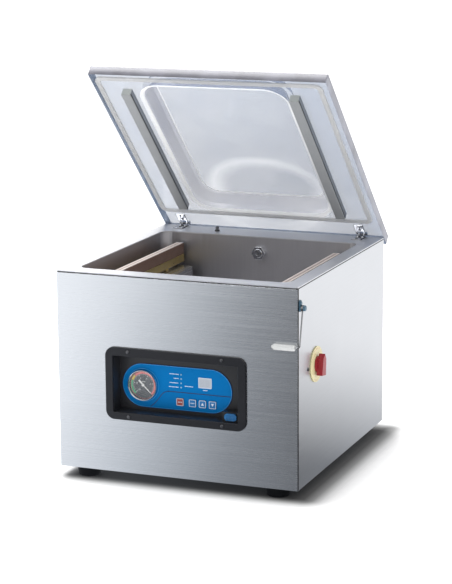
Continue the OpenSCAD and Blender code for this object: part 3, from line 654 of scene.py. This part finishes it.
def lid_edge():
    """The sawn and rubbed edge of the slab, dull outside, in copies of one plastic that paint light and
    shade:
    a lighter grey on the sides and a painted highlight where it is seen through the sheet."""
    shape = Shape()
    rings = [slab_ring(BAND, 0.02), slab_ring(0.5, 0.02), slab_ring(0, 0.5),
             slab_ring(0, LID_T - 0.5), slab_ring(0.5, LID_T - 0.02), slab_ring(BAND, LID_T - 0.02)]
    shape.frame_ring(rings)
    band = make("lid_edge_band", shape, "lid", MATS["edge"], LID_PLACE, angle=50)
    band.data.materials.append(MATS["edge_highlight"])
    band.data.materials.append(MATS["edge_side"])
    to_lid = LID_PLACE.inverted()
    for face in band.data.polygons:
        spot = to_lid @ (face.center / MM) - Vector((0, LID_LEN / 2, LID_T / 2))
        facing = to_lid.to_3x3() @ face.normal
        # Inward faces get the painted highlight, and the sides the lighter copy.
        if facing.dot(Vector((spot.x, spot.y, 0))) < -20:
            face.material_index = 1
        elif abs(facing.x) > 0.5:
            face.material_index = 2


lid_shell()
lid_edge()

# ---------------------------------------------------------------------------
# Control panel print, gauge and keys; depths are forward of the cabinet's face
# ---------------------------------------------------------------------------

FILM = -28.8                # front of the printed overlay
DIAL = -30.0                # front of the gauge dial
GAUGE = centre_mm("gauge_dial")
OVERLAY_LO, OVERLAY_HI = box_mm("control_overlay")


def ribbon(points, width, z0, z1, shape=None):
    """A flat printed line along points in the plane."""
    shape = shape or Shape()
    left, right = [], []
    for k, p in enumerate(points):
        p = Vector(p)
        along = (Vector(points[min(k + 1, len(points) - 1)]) - Vector(points[max(k - 1, 0)])).normalized()
        side = Vector((-along.y, along.x)) * width / 2
        left.append(p + side)
        right.append(p - side)
    for k in range(len(points) - 1):
        quad = [right[k], right[k + 1], left[k + 1], left[k]]
        shape.prism([(q.x, q.y) for q in quad], z0, z1)
    return shape


def smooth_path(points, steps=6):
    """Catmull-Rom curve through points."""
    out = []
    pts = [Vector(points[0]), *map(Vector, points), Vector(points[-1])]
    for k in range(1, len(pts) - 2):
        a, b, c, d = pts[k - 1:k + 3]
        for s in range(steps):
            u = s / steps
            out.append(0.5 * (2 * b + (c - a) * u + (2 * a - 5 * b + 4 * c - d) * u * u
                              + (3 * b - a - 3 * c + d) * u ** 3))
    return out + [Vector(points[-1])]


def ring_print(outer, inner, z0, z1, shape=None):
    """A flat ring between two outlines with the same number of points."""
    shape = shape or Shape()
    return shape.frame_ring([raised(outer, z0), raised(outer, z1), raised(inner, z1),
                             raised(inner, z0)])


def sector(cx, cz, r0, r1, a0, a1, z0, z1, shape):
    """Part of a flat ring between two angles in degrees."""
    a0, a1 = math.radians(a0), math.radians(a1)
    steps = max(2, int(abs(a1 - a0) / 0.09))
    outline = arc(cx, cz, r1, a0, a1, steps) + arc(cx, cz, r0, a1, a0, steps)
    count = steps + 1
    for k in range(steps):
        quad = [outline[k], outline[k + 1], outline[2 * count - 2 - k], outline[2 * count - 1 - k]]
        shape.prism(quad, z0, z1)
    return shape


SEGMENTS = {"0": "abcdef", "1": "bc", "2": "abged", "3": "abgcd", "4": "fgbc", "5": "afgcd",
            "6": "afgcde", "7": "abc", "8": "abcdefg", "-": "g", ".": "p"}


def digits(text, x, z, h, z0, z1, shape, gap=0.35):
    """Seven-segment figures, the left one starting at x and centred on z."""
    w, t = h * 0.55, h * 0.14
    for mark in text:
        in0, in1, up0, up1 = t * 1.1, w - t * 1.1, h / 2 - t * 0.05, h / 2 + t * 0.05
        spots = {"a": (in0, h - t, in1, h), "d": (in0, 0, in1, t),
                 "g": (in0, (h - t) / 2, in1, (h + t) / 2), "f": (0, up1, t, h), "e": (0, 0, t, up0),
                 "b": (w - t, up1, w, h), "c": (w - t, 0, w, up0), "p": (0, 0, t * 1.3, t * 1.3)}
        for name in SEGMENTS[mark]:
            a, b, c, d = spots[name]
            shape.block((x + a, z - h / 2 + b, z0), (x + c, z - h / 2 + d, z1))
        x += (t * 1.3 if mark == "." else w) + h * gap
    return shape


def dashes(x0, x1, z, h, shape):
    """A row of plain dashes as long as a printed word."""
    x = x0
    while x < x1 - h * 0.4:
        w = h * random.choice((0.5, 0.6, 0.7))
        shape.prism(rrect(w, h * 0.6, h * 0.2, 3, x + w / 2, z), FILM - 0.05, FILM + 0.06)
        x += w + h * 0.25
    return shape


def overlay_print():
    cx, cz = (OVERLAY_LO.x + OVERLAY_HI.x) / 2, (OVERLAY_LO.z + OVERLAY_HI.z) / 2
    w, h = OVERLAY_HI.x - OVERLAY_LO.x, OVERLAY_HI.z - OVERLAY_LO.z
    lo, hi = FILM - 0.05, FILM + 0.06
    edge = ring_print(rrect(w, h, h / 2, 24, cx, cz),
                      rrect(w - 2.2, h - 2.2, h / 2 - 1.1, 24, cx, cz), lo, hi)
    top = DECK_Z
    turn = [(-66, top - 266.0), (-57, top - 258.5), (-48.5, top - 248.5), (-42, top - 240),
            (-35.5, top - 234.5), (-27, top - 232), (-17, top - 231.6), (104, top - 231.6)]
    ribbon(smooth_path(turn), 1.9, lo, hi + 0.01, edge)
    make("overlay_dark_lines", edge, "cabinet", MATS["overlay_dark"], FRONT_PLACE)
    # The pale line just inside the overlay's edge is a printed contour that also stands in for the
    # highlight along that edge, a painted highlight; the pale ring round the gauge is print.
    light = ring_print(rrect(w - 2.6, h - 2.6, h / 2 - 1.3, 24, cx, cz),
                       rrect(w - 3.8, h - 3.8, h / 2 - 1.9, 24, cx, cz), lo, hi - 0.02)
    glow = sector(GAUGE.x, GAUGE.z, 32.6, 33.4, 0, 360, lo, hi - 0.02, light)
    make("overlay_light_lines", glow, "cabinet", MATS["overlay_light"], FRONT_PLACE)
    words = Shape()
    for x0, x1, dz in ((-24.5, -5, 196), (-15.5, -5, 204.4), (-24.5, -5, 213.5), (-26, -5, 221.8),
                       (7.5, 26, 218.5), (45.5, 54.5, 223.3)):
        dashes(x0, x1, top - dz, 3.0, words)
    make("overlay_words", words, "cabinet", MATS["print"], FRONT_PLACE)


def key_marks():
    """Pale outlines and signs on the four key caps, which move with them."""
    for node, body in (("stop_key", "stop_button"), ("set_key", "set_button"),
                       ("up_key", "up_button"), ("down_key", "down_button")):
        lo, hi = box_mm(node)
        x, z, face = (lo.x + hi.x) / 2, (lo.z + hi.z) / 2, FRONT_Y - lo.y
        z0, z1 = face - 0.05, face + 0.1
        marks = ring_print(rrect(14.6, 14.6, 2.2, 6, x, z), rrect(12.6, 12.6, 1.4, 6, x, z), z0, z1)
        if body == "up_button":
            marks.prism([(x - 3, z - 2.6), (x + 3, z - 2.6), (x, z + 3)], z0, z1)
        elif body == "down_button":
            marks.prism([(x - 3, z + 2.6), (x, z - 3), (x + 3, z + 2.6)], z0, z1)
        else:
            for k in (-1, 0, 1):
                marks.prism(rrect(2.2, 1.6, 0.5, 3, x + k * 3.0, z), z0, z1)
        make(body + "_marks", marks, body, MATS["print"], FRONT_PLACE)


def display_marks():
    lo, hi = box_mm("display_window")
    x, z, face = (lo.x + hi.x) / 2, (lo.z + hi.z) / 2, FRONT_Y - lo.y
    figures = digits("88", x - 9.6, z, 13.5, face - 0.05, face + 0.05, Shape(), 0.25)
    make("display_figures", figures, "cabinet", MATS["digit"], FRONT_PLACE)
    rim = ring_print(rrect(27.4, 20.4, 1.2, 4, x, z), rrect(25.6, 18.6, 0.6, 4, x, z),
                     face - 0.4, face + 0.25)
    make("display_rim", rim, "cabinet", MATS["print"], FRONT_PLACE)


def gauge_face():
    cx, cz = GAUGE.x, GAUGE.z
    red, yellow, green, white = (Shape() for _ in range(4))
    lo, hi = DIAL - 0.05, DIAL + 0.12
    band = (22.4, 26.6)
    sector(cx, cz, *band, -47, 134, lo, hi, red)
    sector(cx, cz, *band, 136, 160, lo, hi, yellow)
    sector(cx, cz, *band, 161, 228, lo, hi, green)
    sector(cx, cz, 27.2, 27.9, -135, 225, lo, hi, red)
    for k in range(51):
        a = math.radians(225 - k * 5.4)
        r0 = 18.2 if k % 10 == 0 else (19.4 if k % 5 == 0 else 20.4)
        ends = [(cx + r * math.cos(a), cz + r * math.sin(a)) for r in (r0, 21.8)]
        ribbon(ends, 0.7 if k % 10 == 0 else 0.35, lo, hi, white)
    for k, text in enumerate(("1.0", ".8", ".6", ".4", ".2", "0")):
        a = math.radians(225 - k * 54)
        digits(text, cx + 14.2 * math.cos(a) - len(text), cz + 14.2 * math.sin(a), 3.0, lo, hi, white)
    for k in (-1, 0, 1):
        white.block((cx + k * 2.6 - 0.9, cz + 5.6, lo), (cx + k * 2.6 + 0.9, cz + 6.8, hi))
    for name, shape in (("red", red), ("yellow", yellow), ("green", green), ("white", white)):
        make("gauge_" + name, shape, "cabinet", MATS["dial_" + name], FRONT_PLACE)
    place = FRONT_PLACE @ Matrix.Translation((cx, cz, 0))
    rim = Shape()
    profile = [(28.05, -24.3), (28.4, -22.6), (29.2, -21.9), (30.2, -22.1), (30.9, -23.0), (31.0, -24.5),
               (31.0, -28.7), (30.6, -28.7), (30.6, -24.8), (28.05, -24.8)]
    rim.frame_ring([[(r * math.cos(t), r * math.sin(t), h) for t in turns(72)] for r, h in profile])
    make("gauge_rim", rim, "cabinet", MATS["rim"], place)
    hub = Shape().lathe([(0, -27.4), (2.2, -27.4), (3.3, -27.8), (3.5, -28.6), (0, -28.6)], 32)
    make("gauge_hub", hub, "pointer", MATS["black"], place)


overlay_print()
key_marks()
display_marks()
gauge_face()

# ---------------------------------------------------------------------------
# Cabinet details, and painted shade in seams and gaps
# ---------------------------------------------------------------------------


def cabinet_seam_shade():
    """Black strips of painted shade in the gap under the deck and down the two front corners."""
    deck_lo, deck_hi = box_mm("deck_plate")
    w, d = deck_hi.x - deck_lo.x, deck_hi.y - deck_lo.y
    strip = ring_print(rrect(w - 1.0, d - 1.0, 2, 4), rrect(w - 2.8, d - 2.8, 1, 4),
                       DECK_Z - 4.0, DECK_Z - 2.0)
    make("deck_seam_shade", strip, "cabinet", MATS["shadow"])
    foot = box_mm("front_panel")[0].z
    corner = Shape()
    for sx in (-1, 1):
        x0, x1 = sorted((sx * (HALF_W - 1.4), sx * (HALF_W + 0.15)))
        corner.block((x0, FRONT_Y + 1.5, foot + 1), (x1, FRONT_Y + 6.0, DECK_Z - 4))
    make("corner_seam_shade", corner, "cabinet", MATS["shadow"])


def hinge_coil(x):
    """Six turns of wire round a hinge's pin."""
    steps, half_len, radius = 96, 3.3, 2.85
    path = []
    for k in range(steps + 1):
        a = 2 * math.pi * k / 16
        path.append((x - half_len + 2 * half_len * k / steps,
                     HINGE.y + radius * math.cos(a), HINGE.z + radius * math.sin(a)))
    return path


def hinge_details():
    """Screws, painted shade round the bases and in the screw slots, coil springs and folded wings on both
    hinges.
    """
    base_lo = box_mm("hinge_bases")[0]
    shade_rings, screws, shaded_slots, coils, leaf_screws, wings = (Shape() for _ in range(6))
    for x in (-HINGE_X, HINGE_X):
        ring_print(rrect(23, 39, 2, 4, x, base_lo.y + 18.5), rrect(19.8, 35, 1, 4, x, base_lo.y + 18.5),
                   DECK_Z, DECK_Z + 0.5, shade_rings)
        for y in (base_lo.y + 5.5, base_lo.y + 17.5):
            place = Matrix.Translation((x, y, DECK_Z + 1.5))
            screws.lathe([(3.2, -0.2), (3.0, 0.15), (2.2, 0.35), (0, 0.4)], 24, place)
            shaded_slots.block((-2.2, -0.35, 0.3), (2.2, 0.35, 0.46), place @ Matrix.Rotation(0.6, 4, "Z"))
        coils.tube(hinge_coil(x), 0.55, 8)
        for s in (492.5, 501.5):
            place = LID_PLACE @ Matrix.Translation((x, s, -1.5)) @ Matrix.Rotation(math.pi, 4, "X")
            leaf_screws.lathe([(3.0, -0.2), (2.8, 0.1), (2.0, 0.24), (0, 0.28)], 24, place)
        for side in (-1, 1):
            x0, x1 = sorted((x + side * 9.2, x + side * 10.2))
            wings.prism([(486, -1.5), (508, -1.5), (519, -2.0), (519, 0), (486, 0)], x0, x1,
                        LID_PLACE @ Matrix(((0, 0, 1, 0), (1, 0, 0, 0), (0, 1, 0, 0), (0, 0, 0, 1))))
    make("hinge_shade_rings", shade_rings, "cabinet", MATS["shadow"])
    make("hinge_screws", screws, "cabinet", MATS["chrome_dark"])
    make("hinge_screw_shaded_slots", shaded_slots, "cabinet", MATS["shadow"])
    make("hinge_coils", coils, "cabinet", MATS["spring"])
    make("hinge_leaf_screws", leaf_screws, "lid", MATS["chrome_dark"])
    make("hinge_leaf_wings", wings, "lid", MATS["chrome_dark"])


def counter_bar_details():
    """Painted shade in the seam between channel and pad, and a pressed end cap on each counter bar."""
    shaded_seams, caps = Shape(), Shape()
    for x in (-COUNTER_X, COUNTER_X):
        for side in (-1, 1):
            x0, x1 = sorted((x + side * 10.0, x + side * 10.25))
            shaded_seams.block((x0, COUNTER_S0 + 0.5, -13.2), (x1, COUNTER_S1 - 0.5, -11.2), LID_PLACE)
        for s0 in (COUNTER_S0 - 0.8, COUNTER_S1 - 0.2):
            caps.block((x - 9.6, s0, -15.2), (x + 9.6, s0 + 1.0, -0.4), LID_PLACE)
    make("counter_bar_shaded_seams", shaded_seams, "lid", MATS["shadow"])
    make("counter_bar_caps", caps, "lid", MATS["cap"], bevel=0.3)


def sealing_bar_details():
    """Heating wire line and clamps on the sealing bars; they rise with the bars."""
    for side, body in (("left", "left_sealer"), ("right", "right_sealer")):
        lo, hi = box_mm(side + "_heater_strip")
        x = (lo.x + hi.x) / 2
        wire, clamps = Shape(), Shape()
        wire.block((x - 1.4, lo.y + 6, hi.z - 0.05), (x + 1.4, hi.y - 6, hi.z + 0.12))
        for y0 in (lo.y - 0.8, hi.y - 5.2):
            clamps.block((x - 7.5, y0, hi.z - 8), (x + 7.5, y0 + 6, hi.z + 0.1))
        make(side + "_heating_band", wire, body, MATS["band"])
        make(side + "_bar_clamps", clamps, body, MATS["bright"], bevel=0.3)


def bail_details():
    lo, hi = box_mm("bail_sleeve")
    y, z = (lo.y + hi.y) / 2, (lo.z + hi.z) / 2
    place = Matrix.Translation((lo.x, y, z)) @ Matrix.Rotation(-math.pi / 2, 4, "Y")
    tip = Shape().lathe([(0, -0.5), (4.2, -0.5), (3.6, 1.5), (2.6, 3.2), (1.2, 4.2), (0, 4.4)], 32, place)
    make("bail_tip", tip, "bail", MATS["sleeve"])
    grips = Shape()
    for k in range(6):
        ring = Matrix.Translation((lo.x + 6 + k * 6.2, y, z)) @ Matrix.Rotation(math.pi / 2, 4, "Y")
        grips.lathe([(5.6, 0), (6.25, 0.4), (6.25, 1.0), (5.6, 1.4)], 40, ring)
    make("bail_grips", grips, "bail", MATS["sleeve"])


def switch_details():
    """Two short printed arcs of strokes on the switch plate, above and below the handle."""
    lo, hi = box_mm("switch_plate")
    middle, face = (lo + hi) / 2, hi.x
    radius = (hi.z - lo.z) / 2 - 4.0
    marks = Shape()
    for k in range(-3, 4):
        for base in (90, 270):
            a = math.radians(base + k * 9)
            y, z = middle.y + radius * math.cos(a), middle.z + radius * math.sin(a)
            place = Matrix.Translation((face, y, z)) @ Matrix.Rotation(a, 4, "X")
            marks.block((-0.05, -1.4, -0.5), (0.06, 1.4, 0.5), place)
    make("switch_plate_marks", marks, "cabinet", MATS["mark_red"])


def port_details():
    """Screen in the vacuum port, with black discs of painted shade for its holes, and a raised lip round
    it.
    """
    lo, hi = box_mm("port_fitting")
    x, z = (lo.x + hi.x) / 2, (lo.z + hi.z) / 2
    place = Matrix.Translation((x, lo.y, z)) @ Matrix.Rotation(-math.pi / 2, 4, "X")
    screen = Shape().lathe([(0, 1.5), (4.9, 1.5), (4.9, 2.4), (0, 2.4)], 32, place)
    make("port_screen", screen, "cabinet", MATS["bright"])
    shaded_holes = Shape()
    spots = [(0, 0)] + [(2.0 * math.cos(a), 2.0 * math.sin(a)) for a in turns(6)] \
        + [(3.9 * math.cos(a), 3.9 * math.sin(a)) for a in turns(12)]
    for u, v in spots:
        shaded_holes.lathe([(0.5, 1.42), (0.5, 1.6)], 8, place @ Matrix.Translation((u, v, 0)))
    make("port_screen_shaded_holes", shaded_holes, "cabinet", MATS["shadow"])
    profile = [(5.05, -0.2), (8.6, -0.2), (8.8, 0.4), (5.05, 0.4)]
    lip = Shape().frame_ring([[place @ Vector((r * math.cos(a), r * math.sin(a), h)) for a in turns(40)]
                              for r, h in profile])
    make("port_lip", lip, "cabinet", MATS["chrome"])


cabinet_seam_shade()
switch_details()
port_details()
hinge_details()
counter_bar_details()
sealing_bar_details()
bail_details()

# ---------------------------------------------------------------------------
# Studio: floor, lights, camera
# ---------------------------------------------------------------------------

# Degrees round the object, above the floor and about the line of sight; the rest in millimetres.
VIEW_AZ, VIEW_EL, VIEW_ROLL = 21.605, 12.072, -0.383
VIEW_DISTANCE = 4228.73
VIEW_TARGET = Vector((0, 0, 317))
VIEW_SLIDE = (-0.85, 19.044)        # right, up
VIEW_LENS, VIEW_SENSOR = 128.0, 36.0


def big_plane(name, material, z):
    size = 30.0
    mesh = bpy.data.meshes.new(name)
    mesh.from_pydata([(-size, -size, z), (size, -size, z), (size, size, z), (-size, size, z)], [],
                     [(0, 1, 2, 3)])
    mesh.materials.append(material)
    plane = bpy.data.objects.new(name, mesh)
    bpy.context.scene.collection.objects.link(plane)
    return plane


def luminous(name):
    """A surface that only shines, white unless a colour is linked in."""
    p = Paint(name, Roughness=1.0)
    p.bsdf.inputs["Base Color"].default_value = (0, 0, 0, 1)
    p.bsdf.inputs["Emission Color"].default_value = (1, 1, 1, 1)
    p.bsdf.inputs["Emission Strength"].default_value = 1.0
    return p


def reflected_floor():
    """What polished metal sees of the studio floor: bright on the left, dark in front on the
    right, bright behind on the right and grey behind on the left."""
    p = luminous("floor_seen_in_metal")
    split = p.node("ShaderNodeSeparateXYZ")
    p.link(p.coords, split.inputs[0])
    across = p.node("ShaderNodeMath", operation="MULTIPLY_ADD")
    p.link(split.outputs["Y"], across.inputs[0])
    across.inputs[1].default_value = -0.36
    p.link(split.outputs["X"], across.inputs[2])
    sideways = p.vary(across.outputs[0], 0, 1, -0.5, 0.6)
    shades = p.ramp(sideways, [(0.0, (1.38, 1.41, 1.45)), (0.2, (1.2, 1.23, 1.27)),
                               (0.42, (0.7, 0.74, 0.79)), (0.62, (0.28, 0.3, 0.33)),
                               (0.85, (0.09, 0.095, 0.105))])
    rear = p.vary(split.outputs["Y"], 0, 1, 0.0, 0.9)
    mix = p.node("ShaderNodeMix", data_type="RGBA")
    p.link(rear, mix.inputs["Factor"])
    p.link(shades, mix.inputs[6])
    behind = p.vary(split.outputs["X"], 0, 1, -0.3, 0.15)
    p.link(p.ramp(behind, [(0.0, (0.42, 0.43, 0.46)), (1.0, (1.22, 1.23, 1.25))]), mix.inputs[7])
    p.link(mix.outputs[2], p.bsdf.inputs["Emission Color"])
    return p.mat


# The floor's painted shadow under the cabinet, in metres: its middle, how far its even part
# stays inside the cabinet's outline, and the width over which it fades.
SHADE_MIDDLE = (0.018, 0.01, 0)
SHADE_INSET = (0.012, 0.006)
SHADE_WIDTH = 0.055


def floor_paint():
    """White floor with a painted shadow close round the cabinet, slightly luminous away from it."""
    p = Paint("floor_white", Roughness=0.8)
    middle = p.node("ShaderNodeVectorMath", operation="SUBTRACT")
    p.link(p.coords, middle.inputs[0])
    middle.inputs[1].default_value = SHADE_MIDDLE
    beyond = p.node("ShaderNodeVectorMath", operation="ABSOLUTE")
    p.link(middle.outputs[0], beyond.inputs[0])
    past = p.node("ShaderNodeVectorMath", operation="SUBTRACT")
    p.link(beyond.outputs[0], past.inputs[0])
    past.inputs[1].default_value = (HALF_W * MM - SHADE_INSET[0], -FRONT_Y * MM - SHADE_INSET[1], 0)
    outside = p.node("ShaderNodeVectorMath", operation="MAXIMUM")
    p.link(past.outputs[0], outside.inputs[0])
    away = p.node("ShaderNodeVectorMath", operation="LENGTH")
    p.link(outside.outputs[0], away.inputs[0])
    near = p.vary(away.outputs["Value"], 0, 1, 0.0, SHADE_WIDTH)
    p.colour(p.ramp(near, [(0.0, (0.1,) * 3), (0.35, (0.32,) * 3), (0.7, (0.74,) * 3),
                           (1.0, (0.92,) * 3)]))
    p.bsdf.inputs["Emission Color"].default_value = (1, 1, 1, 1)
    p.link(p.vary(away.outputs["Value"], 0.0, 0.55, 0.02, 0.12), p.bsdf.inputs["Emission Strength"])
    return p.mat


def studio():
    floor = big_plane("floor", floor_paint(), 0)
    floor.visible_glossy = False
    mirror = big_plane("floor_for_metal", reflected_floor(), -0.002)
    mirror.visible_camera = mirror.visible_diffuse = mirror.visible_transmission = False
    mirror.visible_shadow = False

    backdrop = bpy.data.meshes.new("backdrop")
    bm = bmesh.new()
    bmesh.ops.create_uvsphere(bm, u_segments=48, v_segments=24, radius=45.0)
    bm.to_mesh(backdrop)
    bm.free()
    backdrop.materials.append(luminous("backdrop_white").mat)
    sky = bpy.data.objects.new("backdrop", backdrop)
    bpy.context.scene.collection.objects.link(sky)
    sky.visible_diffuse = sky.visible_glossy = sky.visible_shadow = False

    world = bpy.data.worlds.new("studio")
    bpy.context.scene.world = world
    world.use_nodes = True
    world.node_tree.nodes["Background"].inputs[0].default_value = (1.0, 1.0, 1.0, 1)
    world.node_tree.nodes["Background"].inputs[1].default_value = 0.8
    bpy.context.scene.view_settings.view_transform = "Standard"


def softbox(name, place, aim, size, power):
    light = bpy.data.lights.new(name, "AREA")
    light.shape = "RECTANGLE"
    light.size, light.size_y = size
    light.energy = power
    obj = bpy.data.objects.new(name, light)
    bpy.context.scene.collection.objects.link(obj)
    obj.location = place
    obj.rotation_euler = (Vector(aim) - Vector(place)).to_track_quat("-Z", "Y").to_euler()


def camera():
    az, el, roll = (math.radians(a) for a in (VIEW_AZ, VIEW_EL, VIEW_ROLL))
    back = Vector((math.sin(az) * math.cos(el), -math.cos(az) * math.cos(el), math.sin(el)))
    right = (-back).cross(Vector((0, 0, 1))).normalized()
    up = right.cross(-back)
    right, up = (right * math.cos(roll) + up * math.sin(roll),
                 up * math.cos(roll) - right * math.sin(roll))
    data = bpy.data.cameras.new("camera")
    data.lens = VIEW_LENS
    data.sensor_width = VIEW_SENSOR
    data.clip_end = 100
    obj = bpy.data.objects.new("camera", data)
    bpy.context.scene.collection.objects.link(obj)
    at = VIEW_TARGET + right * VIEW_SLIDE[0] + up * VIEW_SLIDE[1] + back * VIEW_DISTANCE
    obj.matrix_world = Matrix.Translation(at * MM) @ Matrix((right, up, back)).transposed().to_4x4()
    bpy.context.scene.camera = obj


studio()
softbox("key", (-0.9, 0.5, 2.6), (0, 0, 0.3), (2.4, 2.4), 125)
camera()
